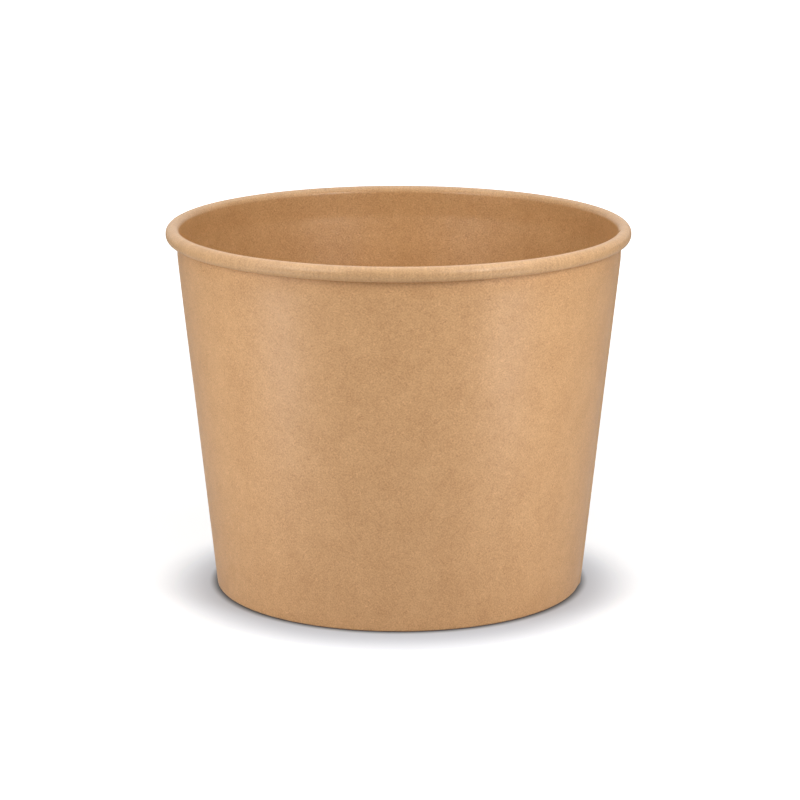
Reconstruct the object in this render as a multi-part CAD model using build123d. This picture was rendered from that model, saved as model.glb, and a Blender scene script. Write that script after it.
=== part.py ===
from build123d import *
from build123d.topology import SkipClean
from math import asin, atan2, cos, degrees, hypot, sin, tan
import os

# Round soup container of kraft board: a tapered sidewall with a rolled rim, folded at the foot round
# the skirt of a raised base disc. Millimetres, +Z up, with the origin at the middle of the foot, on
# the surface that the container stands on. Sections are drawn as radius and height, and then turned.

# Overall sizes
RIM_DIAMETER = 117.0  # over the rolled rim, which a lid fits
BASE_DIAMETER = 93.1  # outside of the wall, where its line meets the table
HEIGHT = 92.7  # table to the top of the rim

# Boards
WALL_BOARD = 0.5
BASE_BOARD = 0.4
SEAL_GAP = 0.02  # sealing coat between two faces that are pressed together

# Rolled rim
ROLL_WIDTH = 3.4
ROLL_HEIGHT = 3.75
CURL_GAP = 0.1  # between the tucked edge of the roll and the wall
NECK_RADIUS = 18.0  # bend of the wall's outer face, from its taper to upright
COLLAR_RISE = 3.0  # upright wall between the neck and the underside of the roll

# Foot
BASE_RECESS = 8.6  # table to the underside of the base disc
SKIRT_CLEARANCE = 0.3  # edge of the skirt above the inside of the fold
HEM_CLEARANCE = 0.6  # edge of the hem below the base disc

# Lap seam, where the outer flap climbs a ramp over the edge of the inner flap
SEAM_ANGLE = -7.0  # degrees from +X towards +Y, at the edge of the inner flap
LAP_WIDTH = 8.0  # from the edge of the inner flap to the edge of the outer flap
LAP_STEP = 0.35  # outer flap above the wall, after pressing
LAP_NOTCH = 0.25  # step down beside the edge of the inner flap, inside and over the roll
RAMP_WIDTH = 3.5
LAP_LIFT = 0.08  # end of the outer flap above the table
LAP_BITE = 0.15  # depth of the strip and the notch past the face that they start from

# Rim and neck, worked out from the sizes above
roll_radius = ROLL_WIDTH / 2
roll_underside = HEIGHT - ROLL_HEIGHT
roll_centre_height = HEIGHT - roll_radius
collar_radius = RIM_DIAMETER / 2 - ROLL_WIDTH + WALL_BOARD
collar_height = roll_underside - COLLAR_RISE
neck_centre = Vector(collar_radius - NECK_RADIUS, collar_height)
tuck_turn = degrees(asin((roll_radius - WALL_BOARD - CURL_GAP) / roll_radius))

# Taper in radians: the wall's outer line starts at the foot and touches the arc of the neck
base_radius = BASE_DIAMETER / 2
neck_offset = neck_centre.X - base_radius
neck_distance = hypot(neck_offset, collar_height)
taper = atan2(neck_offset, collar_height) + asin(NECK_RADIUS / neck_distance)
taper_turn = degrees(taper)
upward = Vector(sin(taper), cos(taper))
outward = Vector(cos(taper), -sin(taper))

# Folds are pressed sharp inside, so each one turns about its inner corner
fold_corner = Vector(base_radius + WALL_BOARD * (tan(taper) - 1 / cos(taper)), WALL_BOARD)
fold_flat = (BASE_BOARD + 2 * SEAL_GAP) / cos(taper)
skirt_inset = (WALL_BOARD + SEAL_GAP + BASE_BOARD) / cos(taper)
disc_corner = Vector(base_radius + BASE_RECESS * tan(taper) - skirt_inset, BASE_RECESS)


def board_section(centreline, board):
    """Section of an even board along an open line of straights and tangent arcs."""
    left = centreline.offset_2d(board / 2, side=Side.LEFT, closed=False)
    right = centreline.offset_2d(board / 2, side=Side.RIGHT, closed=False)
    ends = [Line(left @ 1, right @ 0), Line(left @ 0, right @ 1)]
    return Face(Wire(left.edges() + right.edges() + ends))


def turned(section):
    """Solid made by a full turn of a section about the upright axis."""
    return revolve(Plane.XZ * section, axis=Axis.Z, clean=False)


def wall_lines(inset):
    """Lines of the wall from the fold to the outside of the roll, inset from its outer face."""
    wall_foot = fold_corner + outward * (WALL_BOARD - inset)
    wall = Line(wall_foot, neck_centre + outward * (NECK_RADIUS - inset))
    neck = JernArc(wall @ 1, wall % 1, NECK_RADIUS - inset, taper_turn)
    rise = Line(neck @ 1, (collar_radius - inset, roll_centre_height))
    crown = JernArc(rise @ 1, rise % 1, roll_radius - WALL_BOARD + inset, -180)
    drop = PolarLine(crown @ 1, ROLL_HEIGHT - ROLL_WIDTH, direction=crown % 1)
    return [wall, neck, rise, crown, drop]


def sidewall_ring():
    """Wall with its rolled rim and its folded hem, turned from the side away from the lap."""
    bend = WALL_BOARD / 2
    hem_run = (BASE_RECESS - HEM_CLEARANCE - WALL_BOARD) / cos(taper)
    hem_foot = fold_corner - Vector(fold_flat, 0) - outward * bend
    hem = Line(hem_foot + upward * hem_run, hem_foot)
    hem_fold = JernArc(hem @ 1, hem % 1, bend, 90 + taper_turn)
    flat = Line(hem_fold @ 1, hem_fold @ 1 + Vector(fold_flat, 0))
    wall_fold = JernArc(flat @ 1, flat % 1, bend, 90 - taper_turn)
    lines = wall_lines(bend)
    drop = lines[-1]
    tuck = JernArc(drop @ 1, drop % 1, roll_radius - bend, -90 - tuck_turn)
    centreline = Wire([hem, hem_fold, flat, wall_fold] + lines + [tuck])
    return Rot(0, 0, SEAM_ANGLE + 180) * turned(board_section(centreline, WALL_BOARD))


def seam_point(along, out):
    """Point of the seam's section, along the wall's mean curve and out from it."""
    curve = (base_radius + collar_radius) / 2
    angle = along / curve
    return ((curve + out) * sin(angle), (curve + out) * cos(angle) - curve)


def seam_arc(start, end, out):
    """Stretch of the wall's mean curve at one level of the seam's section."""
    middle = (start + end) / 2
    return ThreePointArc(seam_point(start, out), seam_point(middle, out), seam_point(end, out))


def swept_seam(lines, outline):
    """Solid made by moving a seam section along lines of the wall."""
    path = Plane.XZ * Wire(lines)
    section = Plane(path @ 0, x_dir=(0, -1, 0), z_dir=path % 0) * Face(Wire(outline))
    return Rot(0, 0, SEAM_ANGLE) * sweep(section, path=path)


def lap_strip():
    """Outer flap where it lies on the inner one, with the ramp that leads up to it."""
    ramp_end = RAMP_WIDTH * (1 + LAP_BITE / LAP_STEP)
    ramp = Line(seam_point(ramp_end, -LAP_BITE), seam_point(0, LAP_STEP))
    top = seam_arc(0, -LAP_WIDTH, LAP_STEP)
    edge = Line(seam_point(-LAP_WIDTH, LAP_STEP), seam_point(-LAP_WIDTH, -LAP_BITE))
    bottom = seam_arc(-LAP_WIDTH, ramp_end, -LAP_BITE)
    wrap_turn = degrees(asin((WALL_BOARD - LAP_LIFT) / (WALL_BOARD + LAP_STEP)))
    wrap = CenterArc(fold_corner, WALL_BOARD, -wrap_turn, wrap_turn - taper_turn)
    wall, neck = wall_lines(0)[:2]
    collar = Line(neck @ 1, (collar_radius, roll_underside))
    return swept_seam([wrap, wall, neck, collar], [ramp, top, edge, bottom])


def lap_notch():
    """Wedge cut beside the inner flap's edge, up the inside of the wall and over the roll."""
    ramp_end = RAMP_WIDTH * (1 + LAP_BITE / LAP_NOTCH)
    ramp = Line(seam_point(ramp_end, -LAP_BITE), seam_point(0, LAP_NOTCH))
    edge = Line(seam_point(0, LAP_NOTCH), seam_point(0, -LAP_BITE))
    mouth = seam_arc(0, ramp_end, -LAP_BITE)
    wall, neck, rise, crown, drop = wall_lines(WALL_BOARD)
    hidden_run = (BASE_RECESS - WALL_BOARD) / cos(taper)
    bare_wall = Line(wall @ 0 + upward * hidden_run, wall @ 1)
    under = JernArc(drop @ 1, drop % 1, roll_radius, -90)
    return swept_seam([bare_wall, neck, rise, crown, drop, under], [ramp, edge, mouth])


def sidewall():
    """One sheet: wall, rolled rim, folded hem and lap seam, with its round faces left unmerged."""
    with SkipClean():
        notched = sidewall_ring() - lap_notch()
        return notched + lap_strip()


def base_disc():
    """Flat disc with its edge folded down into a skirt that follows the wall."""
    bend = BASE_BOARD / 2
    skirt_run = (BASE_RECESS - WALL_BOARD - SKIRT_CLEARANCE) / cos(taper)
    skirt_top = disc_corner + outward * bend
    skirt = Line(skirt_top - upward * skirt_run, skirt_top)
    fold = JernArc(skirt @ 1, skirt % 1, bend, 90 + taper_turn)
    disc = Line(fold @ 1, (0, BASE_RECESS + bend))
    return turned(board_section(Wire([skirt, fold, disc]), BASE_BOARD))


def main():
    """Write each piece of the container to its own file."""
    os.makedirs("parts", exist_ok=True)
    export_step(sidewall(), "parts/sidewall.step")
    export_step(base_disc(), "parts/base_disc.step")


if __name__ == "__main__":
    main()
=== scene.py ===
"""Kraft soup container: a lapped sidewall with a rolled rim and a folded hem, round a raised base disc.

Sizes are in millimetres and angles in degrees. They become metres and radians where Blender takes them.
A section is drawn as radius and height, and then turned about the upright axis of the container.
"""
import logging
from dataclasses import dataclass, field
from enum import Enum
from math import asin, atan2, cos, degrees, hypot, pi, radians, sin, tan
from typing import Optional, Sequence, Union

import bpy
import numpy as np
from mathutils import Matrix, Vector, noise


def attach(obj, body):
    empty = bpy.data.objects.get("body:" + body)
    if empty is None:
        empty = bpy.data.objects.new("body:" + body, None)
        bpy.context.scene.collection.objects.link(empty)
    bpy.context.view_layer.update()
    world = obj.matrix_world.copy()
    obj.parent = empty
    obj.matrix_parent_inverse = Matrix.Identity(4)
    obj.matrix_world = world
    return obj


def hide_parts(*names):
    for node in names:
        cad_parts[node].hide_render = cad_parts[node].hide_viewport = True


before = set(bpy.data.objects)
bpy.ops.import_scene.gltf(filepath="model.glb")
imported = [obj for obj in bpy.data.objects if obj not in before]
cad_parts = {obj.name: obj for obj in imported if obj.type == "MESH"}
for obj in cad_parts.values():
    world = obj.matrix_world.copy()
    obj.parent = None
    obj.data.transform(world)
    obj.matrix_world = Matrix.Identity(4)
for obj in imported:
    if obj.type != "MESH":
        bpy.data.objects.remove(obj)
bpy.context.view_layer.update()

LOG = logging.getLogger("soup_container")
MM = 0.001
BODY = "root"
SHEET_MAP = "sheet"

Rgb = tuple[float, float, float]
Point = tuple[float, float]
Spot = tuple[float, float, float]
Number = Union["Socket", float]
Setting = Union[str, float, bool, int, Sequence]


def smooth_step(low: float, high: float, value: float) -> float:
    """Rise from 0 to 1 between two values, level at both ends.

    Args:
        low: Value at which the rise starts.
        high: Value at which the rise ends.
        value: Value to place.

    Returns:
        A weight from 0 to 1.
    """
    part = min(1.0, max(0.0, (value - low) / (high - low)))
    return part * part * (3.0 - 2.0 * part)


def opaque(colour: Rgb) -> tuple[float, float, float, float]:
    """Colour with full alpha, as colour sockets take it."""
    return (colour[0], colour[1], colour[2], 1.0)


class Socket:
    """Output of a shader node, whose arithmetic adds Math nodes."""

    def __init__(self, shader: "Shader", port: bpy.types.NodeSocket) -> None:
        """Keep the port and the shader that it belongs to."""
        self.shader = shader
        self.port = port

    def __add__(self, other: Number) -> "Socket":
        """Sum with another value."""
        return self.shader.math("ADD", self, other)

    def __radd__(self, other: Number) -> "Socket":
        """Sum with a number on the left."""
        return self.shader.math("ADD", other, self)

    def __sub__(self, other: Number) -> "Socket":
        """Difference from another value."""
        return self.shader.math("SUBTRACT", self, other)

    def __rsub__(self, other: Number) -> "Socket":
        """Difference from a number on the left."""
        return self.shader.math("SUBTRACT", other, self)

    def __mul__(self, other: Number) -> "Socket":
        """Product with another value."""
        return self.shader.math("MULTIPLY", self, other)

    def __rmul__(self, other: Number) -> "Socket":
        """Product with a number on the left."""
        return self.shader.math("MULTIPLY", other, self)

    def __abs__(self) -> "Socket":
        """Size of the value without its sign."""
        return self.shader.math("ABSOLUTE", self)

    def fade(self, low: float, high: float) -> "Socket":
        """Smooth weight from 0 at the low value to 1 at the high value.

        Args:
            low: Value that gives 0.
            high: Value that gives 1, which may be the smaller of the two.

        Returns:
            The weight.
        """
        ends = {"From Min": low, "From Max": high}
        settings = {"interpolation_type": "SMOOTHSTEP"}
        return self.shader.node("ShaderNodeMapRange", settings, {"Value": self, **ends})


class Shader:
    """Node tree of a material or of the world."""

    def __init__(self, tree: bpy.types.NodeTree) -> None:
        """Start the tree empty."""
        self.tree = tree
        self.tree.nodes.clear()

    @classmethod
    def of_material(cls, material: bpy.types.Material) -> "Shader":
        """Shader that fills a material."""
        material.use_nodes = True
        return cls(material.node_tree)

    def node(
        self,
        kind: str,
        settings: Optional[dict[str, Setting]] = None,
        sockets: Optional[dict[Union[str, int], object]] = None,
        output: Union[str, int] = 0,
    ) -> Optional[Socket]:
        """Add a node of any type.

        Args:
            kind: Blender's name of the node type.
            settings: Properties of the node, which are set first.
            sockets: Values or links of its inputs, by name or number.
            output: Name or number of the output to return.

        Returns:
            The output, or None for a node that has none.
        """
        made = self.tree.nodes.new(kind)
        for name, value in (settings or {}).items():
            setattr(made, name, value)
        for name, value in (sockets or {}).items():
            if isinstance(value, Socket):
                self.tree.links.new(value.port, made.inputs[name])
            else:
                made.inputs[name].default_value = value
        return Socket(self, made.outputs[output]) if made.outputs else None

    def math(self, operation: str, first: Number, second: Number = 0.0) -> Socket:
        """Add a Math node.

        Args:
            operation: Its operation.
            first: First value.
            second: Second value, where the operation has one.

        Returns:
            The result.
        """
        return self.node("ShaderNodeMath", {"operation": operation}, {0: first, 1: second})

    def mix(self, factor: Number, first: object, second: object, blend: str = "MIX") -> Socket:
        """Mix two colours.

        Args:
            factor: Share of the second colour.
            first: First colour or its socket.
            second: Second colour or its socket.
            blend: Way of mixing.

        Returns:
            The mixed colour.
        """
        settings = {"data_type": "RGBA", "blend_type": blend, "clamp_factor": True}
        return self.node("ShaderNodeMix", settings, {0: factor, 6: first, 7: second}, 2)

    def noise(self, place: Socket, size: Union[float, Point], detail: float, turn: float = 0.0) -> Socket:
        """Add a flat noise of a given grain.

        Args:
            place: Place on the sheet in millimetres.
            size: Size of a grain, or its length and width.
            detail: Number of finer layers.
            turn: Angle of its length on the sheet.

        Returns:
            The noise, from 0 to 1 and about a half.
        """
        length, width = size if isinstance(size, tuple) else (size, size)
        turned = self.node(
            "ShaderNodeVectorRotate", {"rotation_type": "Z_AXIS"}, {"Vector": place, "Angle": radians(turn)}
        )
        grain = (1.0 / length, 1.0 / width, 1.0)
        scaled = self.node("ShaderNodeVectorMath", {"operation": "MULTIPLY"}, {0: turned, 1: grain})
        sockets = {"Vector": scaled, "Scale": 1.0, "Detail": detail, "Roughness": 0.55}
        return self.node("ShaderNodeTexNoise", {"noise_dimensions": "2D"}, sockets)


class BoardSide(Enum):
    """Side of the board, with the share of sealing coat on it."""

    BARE = 0.0
    COATED = 1.0


class SheetPart(Enum):
    """Stretch of a board's section."""

    HEM = "hem"
    HEM_FOLD = "hem fold"
    FOOT = "foot"
    WALL_FOLD = "wall fold"
    WALL = "wall"
    NECK = "neck"
    COLLAR = "collar"
    CURL = "inside of the roll"
    ROLL = "outside of the roll"
    HIDDEN = "between the hem and the wall"
    DISC = "disc"
    DISC_FOLD = "disc fold"
    SKIRT = "skirt"


class Mark(Enum):
    """Value that a mesh carries at each point for its finish."""

    COATED = "coated"
    ROLLED = "rolled"
    CUT = "cut"


@dataclass(frozen=True)
class KraftBoard:
    """Finish of unbleached kraft board, with its fibres, clouds and coat, and a painted sheen on the roll.
    """

    dark: Rgb = (0.435, 0.212, 0.077)
    light: Rgb = (0.804, 0.484, 0.239)
    cut_edge: Rgb = (0.690, 0.480, 0.310)
    # Painted sheen: a paler, less saturated colour that the roll is mixed towards, standing in for the sheen
    # of light on it.
    roll_painted_sheen: Rgb = (0.450, 0.340, 0.240)
    coat_tint: Rgb = (0.972, 0.982, 0.920)
    cut_share: float = 0.75
    painted_sheen_share: float = 0.16
    roll_wear: float = 0.4
    cloud_size: float = 8.0
    mottle_size: float = 1.9
    speckle_size: float = 0.42
    cloud_share: float = 0.28
    mottle_share: float = 0.22
    speckle_share: float = 0.80
    fibre_length: float = 2.6
    fibre_width: float = 0.16
    fibre_turns: tuple[float, ...] = (12.0, 68.0, 121.0, 157.0)
    fibre_share: float = 0.16
    ior: float = 1.50
    roughness: float = 0.38
    coat_gloss: float = 0.06
    roll_gloss: float = -0.08
    roughness_spread: float = 0.16
    cut_roughness: float = 0.2
    relief: float = 0.030
    striation_size: Point = (0.55, 7.0)
    striation_share: float = 0.45
    striation_relief: float = 1.4

    def fibres(self, shader: Shader, sheet: Socket, bright: bool) -> Socket:
        """Short strands that cross the sheet in several directions.

        Args:
            shader: Shader to add to.
            sheet: Place on the sheet.
            bright: Whether these are the pale strands or the dark ones.

        Returns:
            Their weight, from 0 to 1.
        """
        total: Number = 0.0
        size = (self.fibre_length, self.fibre_width * 5.0)
        for turn in self.fibre_turns:
            strand = shader.noise(sheet, size, 1.0, turn + (31.0 if bright else 0.0))
            line = abs(strand - 0.5).fade(0.035, 0.0)
            broken = shader.noise(sheet, self.fibre_length * 0.8, 0.0, turn + 45.0).fade(0.5, 0.66)
            total = total + line * broken
        return total

    def material(self, name: str) -> bpy.types.Material:
        """Make the board's material.

        Args:
            name: Name of the material.

        Returns:
            The material.
        """
        made = bpy.data.materials.new(name)
        shader = Shader.of_material(made)
        sheet = shader.node("ShaderNodeUVMap", {"uv_map": SHEET_MAP})
        coated, rolled, cut = (
            shader.node("ShaderNodeAttribute", {"attribute_name": mark.value}, output="Fac") for mark in Mark
        )
        clouds = shader.noise(sheet, self.cloud_size, 2.0) - 0.5
        mottle = shader.noise(sheet, self.mottle_size, 2.0, 20.0) - 0.5
        speckle = shader.noise(sheet, self.speckle_size, 1.5, 50.0) - 0.5
        pale = self.fibres(shader, sheet, True)
        deep = self.fibres(shader, sheet, False)
        striation = shader.noise(sheet, self.striation_size, 2.0) - 0.5
        tone = 0.5 + clouds * self.cloud_share + mottle * self.mottle_share + speckle * self.speckle_share
        tone = tone + (pale - deep) * self.fibre_share + striation * rolled * self.striation_share
        board = shader.mix(tone, opaque(self.dark), opaque(self.light))
        tinted = shader.mix(coated - rolled * self.roll_wear, board, opaque(self.coat_tint), "MULTIPLY")
        # Painted sheen: the roll is mixed towards a paler, less saturated tone that stands in for the sheen
        # of light on it.
        roll_with_painted_sheen = shader.mix(rolled * self.painted_sheen_share, tinted, opaque(self.roll_painted_sheen))
        colour = shader.mix(cut * self.cut_share, roll_with_painted_sheen, opaque(self.cut_edge))
        grain = speckle * 0.6 + mottle * 0.5 + (pale + deep) * 0.25
        height = grain + striation * rolled * self.striation_relief
        bump = {"Strength": 1.0, "Distance": self.relief * MM, "Height": height}
        gloss = coated * self.coat_gloss + rolled * self.roll_gloss
        roughness = self.roughness - gloss + speckle * self.roughness_spread
        surface = {
            "Base Color": colour,
            "Roughness": roughness + cut * self.cut_roughness,
            "IOR": self.ior,
            "Normal": shader.node("ShaderNodeBump", {}, bump),
        }
        bsdf = shader.node("ShaderNodeBsdfPrincipled", {}, surface)
        shader.node("ShaderNodeOutputMaterial", {}, {"Surface": bsdf})
        return made


@dataclass(frozen=True)
class TubForm:
    """Sizes that the sidewall and the base disc share."""

    rim_diameter: float = 117.0
    base_diameter: float = 93.1
    height: float = 92.7
    wall_board: float = 0.5
    base_board: float = 0.4
    seal_gap: float = 0.02
    roll_width: float = 3.4
    roll_height: float = 3.75
    curl_gap: float = 0.1
    neck_radius: float = 18.0
    collar_rise: float = 3.0
    base_recess: float = 8.6
    skirt_clearance: float = 0.3
    hem_clearance: float = 0.6

    @property
    def roll_radius(self) -> float:
        """Outer radius of the roll's section."""
        return self.roll_width / 2

    @property
    def roll_axis(self) -> float:
        """Radius of the circle that the roll follows."""
        return self.rim_diameter / 2 - self.roll_radius

    @property
    def roll_underside(self) -> float:
        """Height of the lowest line of the roll."""
        return self.height - self.roll_height

    @property
    def crown_height(self) -> float:
        """Height of the centre of the roll's upper half."""
        return self.height - self.roll_radius

    @property
    def tuck_height(self) -> float:
        """Height of the centre of the roll's lower half."""
        return self.roll_underside + self.roll_radius

    @property
    def tuck_turn(self) -> float:
        """Angle by which the tucked edge goes on past the roll's lowest line."""
        return degrees(asin((self.roll_radius - self.wall_board - self.curl_gap) / self.roll_radius))

    @property
    def collar_radius(self) -> float:
        """Outer radius of the upright wall below the roll."""
        return self.roll_axis - self.roll_radius + self.wall_board

    @property
    def collar_height(self) -> float:
        """Height at which the neck ends and the upright wall starts."""
        return self.roll_underside - self.collar_rise

    @property
    def neck_centre(self) -> Point:
        """Centre of the neck's bend."""
        return (self.collar_radius - self.neck_radius, self.collar_height)

    @property
    def base_radius(self) -> float:
        """Radius at which the wall's outer line meets the table."""
        return self.base_diameter / 2

    @property
    def mean_radius(self) -> float:
        """Radius of the wall half way up."""
        return (self.base_radius + self.collar_radius) / 2

    @property
    def taper(self) -> float:
        """Lean of the wall from upright, in radians."""
        offset = self.neck_centre[0] - self.base_radius
        reach = hypot(offset, self.collar_height)
        return atan2(offset, self.collar_height) + asin(self.neck_radius / reach)

    @property
    def upward(self) -> Point:
        """Direction up the wall."""
        return (sin(self.taper), cos(self.taper))

    @property
    def outward(self) -> Point:
        """Direction square out of the wall."""
        return (cos(self.taper), -sin(self.taper))

    @property
    def fold_corner(self) -> Point:
        """Inner corner of the fold between the wall and the foot."""
        inset = self.wall_board * (tan(self.taper) - 1 / cos(self.taper))
        return (self.base_radius + inset, self.wall_board)

    @property
    def hem_corner(self) -> Point:
        """Inner corner of the fold between the foot and the hem."""
        flat = (self.base_board + 2 * self.seal_gap) / cos(self.taper)
        return (self.fold_corner[0] - flat, self.fold_corner[1])

    @property
    def disc_corner(self) -> Point:
        """Inner corner of the fold between the disc and its skirt."""
        inset = (self.wall_board + self.seal_gap + self.base_board) / cos(self.taper)
        return (self.base_radius + self.base_recess * tan(self.taper) - inset, self.base_recess)

    def step(self, start: Point, out: float, up: float = 0.0) -> Point:
        """Point that lies out from the wall's line and up along it.

        Args:
            start: Point to start from.
            out: Distance square out of the wall.
            up: Distance up along the wall.

        Returns:
            The point.
        """
        radius = start[0] + self.outward[0] * out + self.upward[0] * up
        return (radius, start[1] + self.outward[1] * out + self.upward[1] * up)


@dataclass(frozen=True)
class Station:
    """Point of a board's section, with the direction that its face looks in."""

    radius: float
    height: float
    normal: Point
    along: float
    part: SheetPart
    side: BoardSide


class SectionLine:
    """Section of a board, traced as stations round both of its faces."""

    def __init__(self) -> None:
        """Start with no stations."""
        self.stations: list[Station] = []
        self.along = 0.0

    def add(self, spot: Point, normal: Point, part: SheetPart, side: BoardSide) -> None:
        """Add one station, unless the last one is at the same spot.

        Args:
            spot: Radius and height.
            normal: Direction that the face looks in.
            part: Stretch of the section.
            side: Side of the board.
        """
        if self.stations:
            last = self.stations[-1]
            run = hypot(spot[0] - last.radius, spot[1] - last.height)
            if run < 1e-6:
                return
            self.along += run if side is last.side else 0.0
            if side is BoardSide.COATED and last.side is BoardSide.COATED:
                self.along -= 2 * run
        self.stations.append(Station(spot[0], spot[1], normal, self.along, part, side))

    def straight(self, start: Point, end: Point, count: int, part: SheetPart, side: BoardSide) -> None:
        """Trace a straight stretch, whose face looks to the right of the way along.

        Args:
            start: First point.
            end: Last point.
            count: Number of steps.
            part: Stretch of the section.
            side: Side of the board.
        """
        run = hypot(end[0] - start[0], end[1] - start[1])
        normal = ((end[1] - start[1]) / run, (start[0] - end[0]) / run)
        for index in range(count + 1):
            share = index / count
            spot = (start[0] + (end[0] - start[0]) * share, start[1] + (end[1] - start[1]) * share)
            self.add(spot, normal, part, side)

    def arc(
        self, centre: Point, radius: float, ends: Point, count: int, part: SheetPart, side: BoardSide
    ) -> None:
        """Trace an arc, whose face looks to the right of the way along.

        Args:
            centre: Centre of the arc.
            radius: Radius of the arc.
            ends: First and last angle, from the outward direction towards up.
            count: Number of steps.
            part: Stretch of the section.
            side: Side of the board.
        """
        facing = 1.0 if ends[1] > ends[0] else -1.0
        for index in range(count + 1):
            angle = radians(ends[0] + (ends[1] - ends[0]) * index / count)
            way = (cos(angle), sin(angle))
            spot = (centre[0] + radius * way[0], centre[1] + radius * way[1])
            self.add(spot, (way[0] * facing, way[1] * facing), part, side)


@dataclass
class MeshDraft:
    """Mesh in millimetres, before Blender has it."""

    points: list[Spot] = field(default_factory=list)
    faces: list[tuple[int, ...]] = field(default_factory=list)
    sheet: list[Point] = field(default_factory=list)
    marks: dict[Mark, list[float]] = field(default_factory=lambda: {mark: [] for mark in Mark})

    def point(self, spot: Spot, values: Sequence[float]) -> None:
        """Add a point with its values.

        Args:
            spot: Place of the point.
            values: Its values, in the order of the marks.
        """
        self.points.append(spot)
        for mark, value in zip(Mark, values):
            self.marks[mark].append(value)

    def made(self, name: str, crease: float) -> bpy.types.Object:
        """Write the mesh to a new object.

        Args:
            name: Name of the object.
            crease: Angle between two faces past which their edge is sharp.

        Returns:
            The object.
        """
        mesh = bpy.data.meshes.new(name)
        mesh.from_pydata((np.array(self.points) * MM).tolist(), [], self.faces)
        layer = mesh.uv_layers.new(name=SHEET_MAP)
        layer.data.foreach_set("uv", np.array(self.sheet, dtype=np.float32).ravel())
        for mark, values in self.marks.items():
            store = mesh.attributes.new(mark.value, "FLOAT", "POINT")
            store.data.foreach_set("value", np.array(values, dtype=np.float32))
        mesh.shade_smooth()
        mesh.set_sharp_from_angle(angle=radians(crease))
        mesh.validate()
        made = bpy.data.objects.new(name, mesh)
        bpy.context.scene.collection.objects.link(made)
        return made


def settle(piece: bpy.types.Object, node: str, material: bpy.types.Material) -> None:
    """Give a piece its finish and let it stand for a solid.

    Args:
        piece: The piece.
        node: Solid that it stands for.
        material: Its finish.
    """
    piece.data.materials.append(material)
    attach(piece, BODY)
    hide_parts(node)
    LOG.info("%s: %d faces", piece.name, len(piece.data.polygons))


@dataclass(frozen=True)
class Column:
    """Upright line of the wall, with its share of the lap's step and of the notch beside it."""

    turn: float
    lap: float
    notch: float
    cut: float


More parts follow.
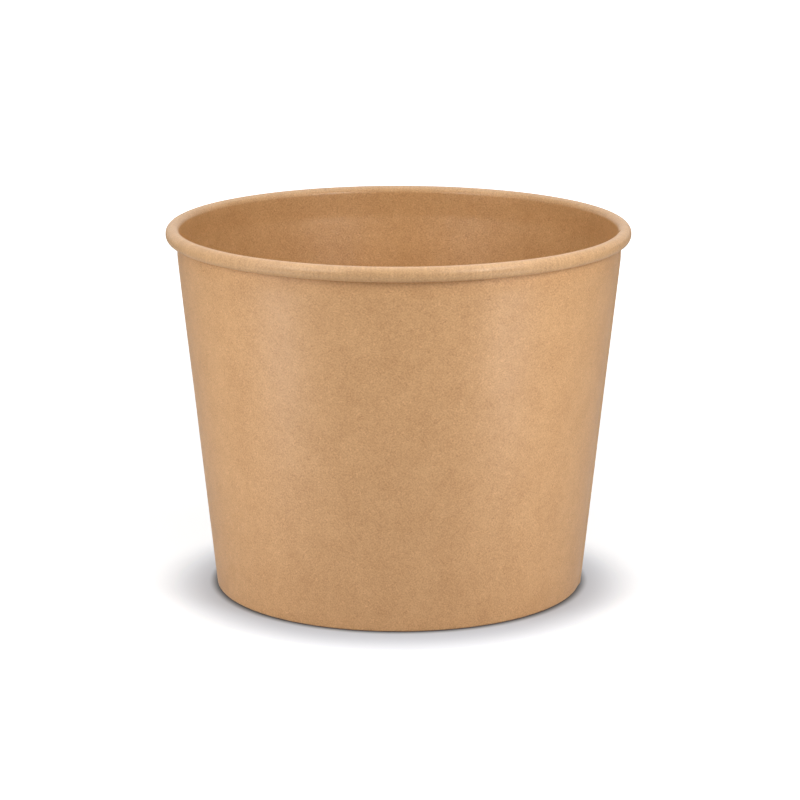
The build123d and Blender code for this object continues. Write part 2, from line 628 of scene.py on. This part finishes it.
@dataclass
class Sidewall:
    """Wall, rolled rim and folded hem of one lapped sheet."""

    form: TubForm
    finish: KraftBoard
    seam_angle: float = -7.0
    lap_width: float = 8.0
    lap_step: float = 0.35
    lap_notch: float = 0.25
    roll_notch: float = 0.1
    ramp_width: float = 3.5
    edge_run: float = 0.02
    divisions: int = 480
    knurl_count: int = 96
    knurl_depth: float = 0.13
    wave: float = 0.09
    roll_unevenness: float = 0.05
    crease: float = 32.0

    def section(self) -> list[Station]:
        """Stations of the sheet: down the hem, up the wall, through the roll and back inside.

        Returns:
            The closed section.
        """
        form = self.form
        board = form.wall_board
        lean = degrees(form.taper)
        hem_run = (form.base_recess - form.hem_clearance - board) / cos(form.taper)
        axis = form.roll_axis
        roll = form.roll_radius
        bare, coated = BoardSide.BARE, BoardSide.COATED
        hem_face = form.step(form.hem_corner, -board)
        wall_top = form.step(form.neck_centre, form.neck_radius)
        inner_top = form.step(form.neck_centre, form.neck_radius - board)
        throat = form.collar_radius - board
        line = SectionLine()
        line.straight(form.step(hem_face, 0, hem_run), hem_face, 16, SheetPart.HEM, bare)
        line.arc(form.hem_corner, board, (180 - lean, 270), 6, SheetPart.HEM_FOLD, bare)
        foot = (form.fold_corner[0], 0.0)
        line.straight((form.hem_corner[0], 0.0), foot, 1, SheetPart.FOOT, bare)
        line.arc(form.fold_corner, board, (270, 360 - lean), 6, SheetPart.WALL_FOLD, bare)
        line.straight(form.step(form.fold_corner, board), wall_top, 30, SheetPart.WALL, bare)
        line.arc(form.neck_centre, form.neck_radius, (-lean, 0), 4, SheetPart.NECK, bare)
        collar = (form.collar_radius, form.collar_height)
        under = (form.collar_radius, form.roll_underside)
        line.straight(collar, under, 4, SheetPart.COLLAR, bare)
        line.straight(under, (form.collar_radius, form.crown_height), 2, SheetPart.CURL, bare)
        line.arc((axis, form.crown_height), roll - board, (180, 0), 8, SheetPart.CURL, bare)
        tuck_end = -90 - form.tuck_turn
        line.arc((axis, form.tuck_height), roll - board, (0, tuck_end), 5, SheetPart.CURL, bare)
        line.arc((axis, form.tuck_height), roll, (tuck_end, 0), 14, SheetPart.ROLL, coated)
        line.arc((axis, form.crown_height), roll, (0, 180), 20, SheetPart.ROLL, coated)
        line.straight((throat, form.crown_height), (throat, form.collar_height), 4, SheetPart.COLLAR, coated)
        neck_inside = form.neck_radius - board
        line.arc(form.neck_centre, neck_inside, (0, -lean), 4, SheetPart.NECK, coated)
        seat = form.step(form.fold_corner, 0, (form.base_recess + form.base_board - board) / cos(form.taper))
        line.straight(inner_top, seat, 28, SheetPart.WALL, coated)
        line.straight(seat, form.fold_corner, 2, SheetPart.HIDDEN, coated)
        line.straight(form.fold_corner, form.hem_corner, 1, SheetPart.HIDDEN, coated)
        hem_top = form.step(form.hem_corner, 0, hem_run)
        line.straight(form.hem_corner, hem_top, 2, SheetPart.HIDDEN, coated)
        return line.stations

    def columns(self) -> list[Column]:
        """Lines round the wall, from the edge of the inner flap, with both edges of the lap doubled.

        Returns:
            The columns in order.
        """
        to_turn = degrees(1 / self.form.mean_radius)
        lap = self.lap_width * to_turn
        ramp = self.ramp_width * to_turn
        slit = self.edge_run * to_turn
        edges = [0.0, lap - slit, lap + slit, 360.0 - slit]
        pitch = 360.0 / self.divisions
        even = [pitch * index for index in range(self.divisions)]
        clear = [turn for turn in even if min(abs(turn - edge) for edge in edges) > pitch * 0.4]
        made = []
        for turn in sorted(clear + edges):
            climb = smooth_step(360.0 - ramp, 360.0, turn)
            flap = 1.0 if turn < lap else climb
            cut = 1.0 if turn in edges[1:3] else 0.0
            made.append(Column(turn, flap, climb, cut))
        return made

    def lap_share(self, station: Station) -> float:
        """Share of the lap's step that a station takes, which ends above the table and below the roll.

        Args:
            station: Station of the section.

        Returns:
            The share, from 0 to 1.
        """
        if station.part in (SheetPart.HEM_FOLD, SheetPart.WALL_FOLD):
            return min(1.0, (1.0 + station.normal[1]) / 0.85)
        stepped = (SheetPart.HEM, SheetPart.WALL, SheetPart.NECK, SheetPart.COLLAR)
        return 1.0 if station.side is BoardSide.BARE and station.part in stepped else 0.0

    def notch_share(self, station: Station) -> float:
        """Share of the notch that a station takes, inside the wall and over the roll.

        Args:
            station: Station of the section.

        Returns:
            The share, from 0 to 1.
        """
        if station.side is BoardSide.BARE or station.part is SheetPart.HIDDEN:
            return 0.0
        if station.part is SheetPart.ROLL and station.height < self.form.tuck_height:
            return self.roll_notch * smooth_step(-0.3, 0.1, station.normal[0])
        if station.part is SheetPart.ROLL:
            return 1.0 + (self.roll_notch - 1.0) * smooth_step(-1.0, -0.4, station.normal[0])
        return 1.0

    def knurl_share(self, station: Station) -> float:
        """Share of the knurling that a station takes, which stops short of the hem's edge and of the fold.

        Args:
            station: Station of the section.

        Returns:
            The share, from 0 to 1.
        """
        if station.part is not SheetPart.HEM:
            return 0.0
        low = self.form.wall_board
        share = (station.height - low) / (self.form.base_recess - self.form.hem_clearance - low)
        return smooth_step(0.10, 0.20, share) * smooth_step(0.92, 0.82, share)

    def roll_share(self, station: Station) -> float:
        """Weight of the roll's own marks and of its painted sheen, which fade out towards the inside of the
        mouth.
        """
        return smooth_step(-1.0, -0.5, station.normal[0]) if station.part is SheetPart.ROLL else 0.0

    def give(self, station: Station, angle: float) -> float:
        """Slight waviness of the free part of the wall.

        Args:
            station: Station of the section.
            angle: Angle round the container, in radians.

        Returns:
            Distance that the sheet stands out.
        """
        weight = smooth_step(11.0, 28.0, station.height) * smooth_step(86.0, 70.0, station.height)
        if weight <= 0.0:
            return 0.0
        broad = noise.noise(Vector((1.7 * cos(angle), 1.7 * sin(angle), station.height / 34.0)))
        fine = noise.noise(Vector((4.4 * cos(angle) + 9.0, 4.4 * sin(angle), station.height / 15.0)))
        return self.wave * weight * (broad + 0.4 * fine)

    def spot(self, station: Station, column: Column) -> Spot:
        """Place of one point of the sheet.

        Args:
            station: Station of the section.
            column: Line round the wall.

        Returns:
            The point.
        """
        turn = column.turn if column.turn < 180.0 else column.turn - 360.0
        near = smooth_step(45.0, 15.0, abs(turn))
        spread = 1.0 + (self.form.mean_radius / station.radius - 1.0) * near
        angle = radians(self.seam_angle + turn * spread)
        out = self.lap_step * column.lap * self.lap_share(station)
        out -= self.lap_notch * column.notch * self.notch_share(station)
        tooth = 0.5 - 0.5 * cos(radians(column.turn) * self.knurl_count)
        out -= self.knurl_depth * tooth * self.knurl_share(station)
        rolled = self.roll_share(station)
        if rolled > 0.0:
            uneven = noise.noise(Vector((5.0 * cos(angle), 5.0 * sin(angle), 3.0)))
            out -= self.roll_unevenness * rolled * (0.5 + 0.5 * uneven)
        radius = station.radius + station.normal[0] * out + self.give(station, angle)
        height = station.height + station.normal[1] * out
        return (radius * cos(angle), radius * sin(angle), max(0.0, height))

    def sheet_turn(self, station: Station, column: Column) -> float:
        """Turn that the sheet has made before a face, which is a full one on the outer flap.

        Args:
            station: Station of the section.
            column: Line that the face starts at.

        Returns:
            The angle to add along the sheet.
        """
        lap = self.lap_width * degrees(1 / self.form.mean_radius)
        outer = station.side is BoardSide.BARE and column.turn < lap
        return 360.0 if outer else 0.0

    def draft(self) -> MeshDraft:
        """Mesh of the sheet, closed all round.

        Returns:
            The mesh.
        """
        made = MeshDraft()
        stations = self.section()
        columns = self.columns()
        for station in stations:
            rolled = self.roll_share(station)
            for column in columns:
                cut = column.cut * self.lap_share(station)
                made.point(self.spot(station, column), (station.side.value, rolled, cut))
        wide = len(columns)
        to_run = radians(1.0) * self.form.mean_radius
        for row, station in enumerate(stations):
            above = stations[(row + 1) % len(stations)]
            base, top = row * wide, (row + 1) % len(stations) * wide
            for index, column in enumerate(columns):
                follow = (index + 1) % wide
                ends = (column.turn, columns[follow].turn if follow else 360.0)
                shift = self.sheet_turn(station, column)
                left, right = ((turn + shift) * to_run for turn in ends)
                made.faces.append((base + index, base + follow, top + follow, top + index))
                low, high = station.along, above.along
                made.sheet.extend([(left, low), (right, low), (right, high), (left, high)])
        return made

    def build(self) -> bpy.types.Object:
        """Make the sidewall and dress it.

        Returns:
            The piece.
        """
        piece = self.draft().made("sidewall_sheet", self.crease)
        settle(piece, "sidewall", self.finish.material("wall_kraft"))
        return piece


@dataclass
class BaseDisc:
    """Raised disc with its edge folded down into a skirt."""

    form: TubForm
    finish: KraftBoard
    divisions: int = 288
    dish: float = 0.16
    wave: float = 0.05
    crease: float = 40.0

    def section(self) -> list[Station]:
        """Stations of the disc: out along its underside, down and up the skirt, and back over the top.

        Returns:
            The section from axis to axis.
        """
        form = self.form
        board = form.base_board
        corner = form.disc_corner
        skirt_run = (form.base_recess - form.wall_board - form.skirt_clearance) / cos(form.taper)
        foot = form.step(corner, 0, -skirt_run)
        outer_foot = form.step(foot, board)
        bare, coated = BoardSide.BARE, BoardSide.COATED
        line = SectionLine()
        line.straight((0.0, form.base_recess), corner, 36, SheetPart.DISC, bare)
        line.straight(corner, foot, 4, SheetPart.SKIRT, bare)
        line.straight(foot, outer_foot, 1, SheetPart.SKIRT, coated)
        line.straight(outer_foot, form.step(corner, board), 4, SheetPart.SKIRT, coated)
        line.arc(corner, board, (-degrees(form.taper), 90), 6, SheetPart.DISC_FOLD, coated)
        top = form.base_recess + board
        line.straight((corner[0], top), (0.0, top), 36, SheetPart.DISC, coated)
        return line.stations

    def sag(self, station: Station, angle: float) -> float:
        """Dish of the disc and its slight waviness.

        Args:
            station: Station of the section.
            angle: Angle round the container, in radians.

        Returns:
            Distance that the board lies below its flat plane.
        """
        share = station.radius / self.form.disc_corner[0]
        if station.part is not SheetPart.DISC or share >= 1.0:
            return 0.0
        place = Vector((2.2 * share * cos(angle), 2.2 * share * sin(angle), 7.0))
        free = smooth_step(1.0, 0.8, share)
        return free * (self.dish * (1.0 - share * share) + self.wave * noise.noise(place))

    def draft(self) -> MeshDraft:
        """Mesh of the disc, with one point at each end of its axis.

        Returns:
            The mesh.
        """
        made = MeshDraft()
        stations = self.section()
        wide = self.divisions
        turns = [2 * pi * index / wide for index in range(wide)]
        rings = stations[1:-1]
        steps = [hypot(b.radius - a.radius, b.height - a.height) for a, b in zip(stations, stations[1:])]
        flat = [
            sum(steps[: row + 1] if station.side is BoardSide.BARE else steps[row + 1 :])
            for row, station in enumerate(rings)
        ]
        for station in (stations[0], stations[-1]):
            made.point((0.0, 0.0, station.height - self.sag(station, 0.0)), (station.side.value, 0.0, 0.0))
        for station in rings:
            for angle in turns:
                height = station.height - self.sag(station, angle)
                spot = (station.radius * cos(angle), station.radius * sin(angle), height)
                made.point(spot, (station.side.value, 0.0, 0.0))
        spots = [(reach * cos(angle), reach * sin(angle)) for reach in flat for angle in turns]
        last = (len(rings) - 1) * wide
        for index in range(wide):
            follow = (index + 1) % wide
            made.faces.append((0, 2 + follow, 2 + index))
            made.sheet.extend([(0.0, 0.0), spots[follow], spots[index]])
        for row in range(len(rings) - 1):
            base, top = row * wide, (row + 1) * wide
            for index in range(wide):
                follow = (index + 1) % wide
                ring = (base + index, base + follow, top + follow, top + index)
                made.faces.append(tuple(2 + corner for corner in ring))
                made.sheet.extend(spots[corner] for corner in ring)
        for index in range(wide):
            follow = (index + 1) % wide
            made.faces.append((1, 2 + last + index, 2 + last + follow))
            made.sheet.extend([(0.0, 0.0), spots[last + index], spots[last + follow]])
        return made

    def build(self) -> bpy.types.Object:
        """Make the base disc and dress it.

        Returns:
            The piece.
        """
        piece = self.draft().made("base_disc_sheet", self.crease)
        settle(piece, "base_disc", self.finish.material("base_kraft"))
        return piece


@dataclass(frozen=True)
class Softbox:
    """Soft rectangular lamp for the container, with its lengths in metres."""

    name: str
    azimuth: float
    elevation: float
    distance: float
    width: float
    height: float
    radiance: float

    def place(self, target: Vector) -> bpy.types.Object:
        """Hang the lamp and turn it to the container.

        Args:
            target: Point that it is measured from and faces.

        Returns:
            The lamp.
        """
        lamp = bpy.data.lights.new(self.name, "AREA")
        lamp.shape = "RECTANGLE"
        lamp.size = self.width
        lamp.size_y = self.height
        lamp.energy = pi * self.width * self.height * self.radiance
        made = bpy.data.objects.new(self.name, lamp)
        turn, rise = radians(self.azimuth), radians(self.elevation)
        way = Vector((sin(turn) * cos(rise), -cos(turn) * cos(rise), sin(rise)))
        made.location = target + way * self.distance
        made.rotation_euler = (-way).to_track_quat("-Z", "Y").to_euler()
        made.visible_camera = False
        bpy.context.scene.collection.objects.link(made)
        return made


@dataclass
class Studio:
    """Pale floor, soft lamps, ambient light and the camera of the photograph.

    Each fade on the floor runs between two distances from the middle of the foot, in metres.
    """

    ambient: float = 0.08
    floor_colour: Rgb = (0.66, 0.66, 0.66)
    # Painted shadow for camera rays: a darker, cooler floor colour round the foot.
    floor_painted_shade: Rgb = (0.57, 0.61, 0.67)
    # Painted contact shadow for camera rays: a dark grey thin line right under the foot.
    floor_painted_contact: Rgb = (0.12, 0.12, 0.12)
    floor_half: float = 6.0
    floor_lift: float = 0.56
    far_lift: float = 0.6
    # Centre of the painted shadow and of the fade of the glow, a little to the front of the foot.
    shade_shift: Spot = (0.0, -0.004, 0.0)
    painted_shade_reach: Point = (0.072, 0.048)
    painted_contact_reach: Point = (0.0490, 0.0462)
    lift_fade: Point = (0.043, 0.066)
    far_fade: Point = (0.10, 0.60)
    lamps: tuple[Softbox, ...] = (
        Softbox("overhead_softbox", 0.0, 88.0, 0.80, 0.80, 0.80, 1.0),
        Softbox("left_top", -74.0, 60.0, 0.50, 0.20, 0.20, 2.6),
        Softbox("right_top", 74.0, 60.0, 0.50, 0.20, 0.20, 2.9),
        Softbox("back_softbox", 180.0, 55.0, 0.80, 0.80, 0.40, 1.3),
        Softbox("left_softbox", -70.0, 16.0, 0.60, 0.30, 0.60, 0.8),
        Softbox("right_softbox", 70.0, 16.0, 0.60, 0.30, 0.60, 0.6),
        Softbox("left_key", -43.0, 29.0, 0.23, 0.06, 0.09, 8.0),
        Softbox("right_key", 39.0, 29.0, 0.23, 0.06, 0.09, 10.2),
        Softbox("left_low", -54.0, -7.0, 0.147, 0.04, 0.05, 3.8),
        Softbox("right_low", 50.0, -7.0, 0.147, 0.04, 0.05, 3.5),
    )
    camera_place: Spot = (0.386, -794.26, 236.71)
    camera_pitch: float = 13.43
    camera_lens: float = 144.25

    def seen(self, shader: Shader) -> Socket:
        """Weight of 1 for rays that show the background as it is.

        Args:
            shader: Shader to add to.

        Returns:
            The weight.
        """
        light_path = "ShaderNodeLightPath"
        camera = shader.node(light_path, output="Is Camera Ray")
        glossy = shader.node(light_path, output="Is Glossy Ray")
        through = shader.node(light_path, output="Is Transmission Ray")
        return shader.math("MINIMUM", camera + glossy + through, 1.0)

    def world(self) -> None:
        """Even light from all round, on a white background."""
        world = bpy.data.worlds.new("studio_light")
        bpy.context.scene.world = world
        world.use_nodes = True
        shader = Shader(world.node_tree)
        seen = self.seen(shader)
        strength = self.ambient + seen * (1.0 - self.ambient)
        light = shader.node("ShaderNodeBackground", {}, {"Color": strength, "Strength": 1.0})
        shader.node("ShaderNodeOutputWorld", {}, {"Surface": light})

    def reach(self, shader: Shader, place: Socket, shift: Spot) -> Socket:
        """Distance on the floor from a point near the middle of the foot.

        Args:
            shader: Shader to add to.
            place: Place on the floor in metres.
            shift: Point to measure from.

        Returns:
            The distance in metres.
        """
        return shader.node("ShaderNodeVectorMath", {"operation": "DISTANCE"}, {0: place, 1: shift}, "Value")

    def floor(self) -> bpy.types.Object:
        """Pale floor that keeps the container's shadow, with a painted shadow and a painted contact shadow
        round the foot for camera rays.

        Returns:
            The floor.
        """
        half = self.floor_half
        mesh = bpy.data.meshes.new("floor")
        corners = [(-half, -half, 0.0), (half, -half, 0.0), (half, half, 0.0), (-half, half, 0.0)]
        mesh.from_pydata(corners, [], [(0, 1, 2, 3)])
        made = bpy.data.objects.new("floor", mesh)
        bpy.context.scene.collection.objects.link(made)
        material = bpy.data.materials.new("floor_white")
        mesh.materials.append(material)
        shader = Shader.of_material(material)
        seen = shader.node("ShaderNodeLightPath", output="Is Camera Ray")
        place = shader.node("ShaderNodeTexCoord", output="Object")
        reach = self.reach(shader, place, (0.0, 0.0, 0.0))
        spread = self.reach(shader, place, self.shade_shift)
        plain = opaque(self.floor_colour)
        # Painted shadow, for camera rays only: the floor is mixed towards a darker, cooler colour round the
        # foot.
        beside = shader.mix(spread.fade(*self.painted_shade_reach) * seen, plain, opaque(self.floor_painted_shade))
        # Painted contact shadow, for camera rays only: a dark grey thin line right under the foot.
        colour = shader.mix(reach.fade(*self.painted_contact_reach) * seen, beside, opaque(self.floor_painted_contact))
        paint = shader.node("ShaderNodeBsdfDiffuse", {}, {"Color": colour})
        # The glow for camera rays fades out towards the foot, so the lamps' shadow shows there; this fade
        # also shapes how far that shade reaches.
        near = spread.fade(*self.lift_fade) * self.floor_lift
        lift = seen * (near + reach.fade(*self.far_fade) * self.far_lift)
        glow = shader.node("ShaderNodeEmission", {}, {"Color": lift, "Strength": 1.0})
        both = shader.node("ShaderNodeAddShader", {}, {0: paint, 1: glow})
        shader.node("ShaderNodeOutputMaterial", {}, {"Surface": both})
        return made

    def camera(self) -> bpy.types.Object:
        """Camera at the place and angle of the photograph.

        Returns:
            The camera.
        """
        lens = bpy.data.cameras.new("photo_camera")
        lens.lens = self.camera_lens
        lens.sensor_width = 36.0
        lens.clip_start = 0.05
        lens.clip_end = 50.0
        made = bpy.data.objects.new("photo_camera", lens)
        made.location = Vector(self.camera_place) * MM
        made.rotation_euler = (radians(90.0 - self.camera_pitch), 0.0, 0.0)
        bpy.context.scene.collection.objects.link(made)
        bpy.context.scene.camera = made
        return made

    def build(self) -> None:
        """Set up the camera, the light and the floor."""
        bpy.context.scene.view_settings.view_transform = "Standard"
        self.camera()
        self.world()
        self.floor()
        for lamp in self.lamps:
            lamp.place(Vector((0.0, 0.0, 0.05)))


def main() -> None:
    """Build the container and its studio, and report each piece."""
    logging.basicConfig(level=logging.INFO)
    form = TubForm()
    board = KraftBoard()
    Studio().build()
    pieces = [Sidewall(form, board).build(), BaseDisc(form, board).build()]


if __name__ == "__main__":
    main()
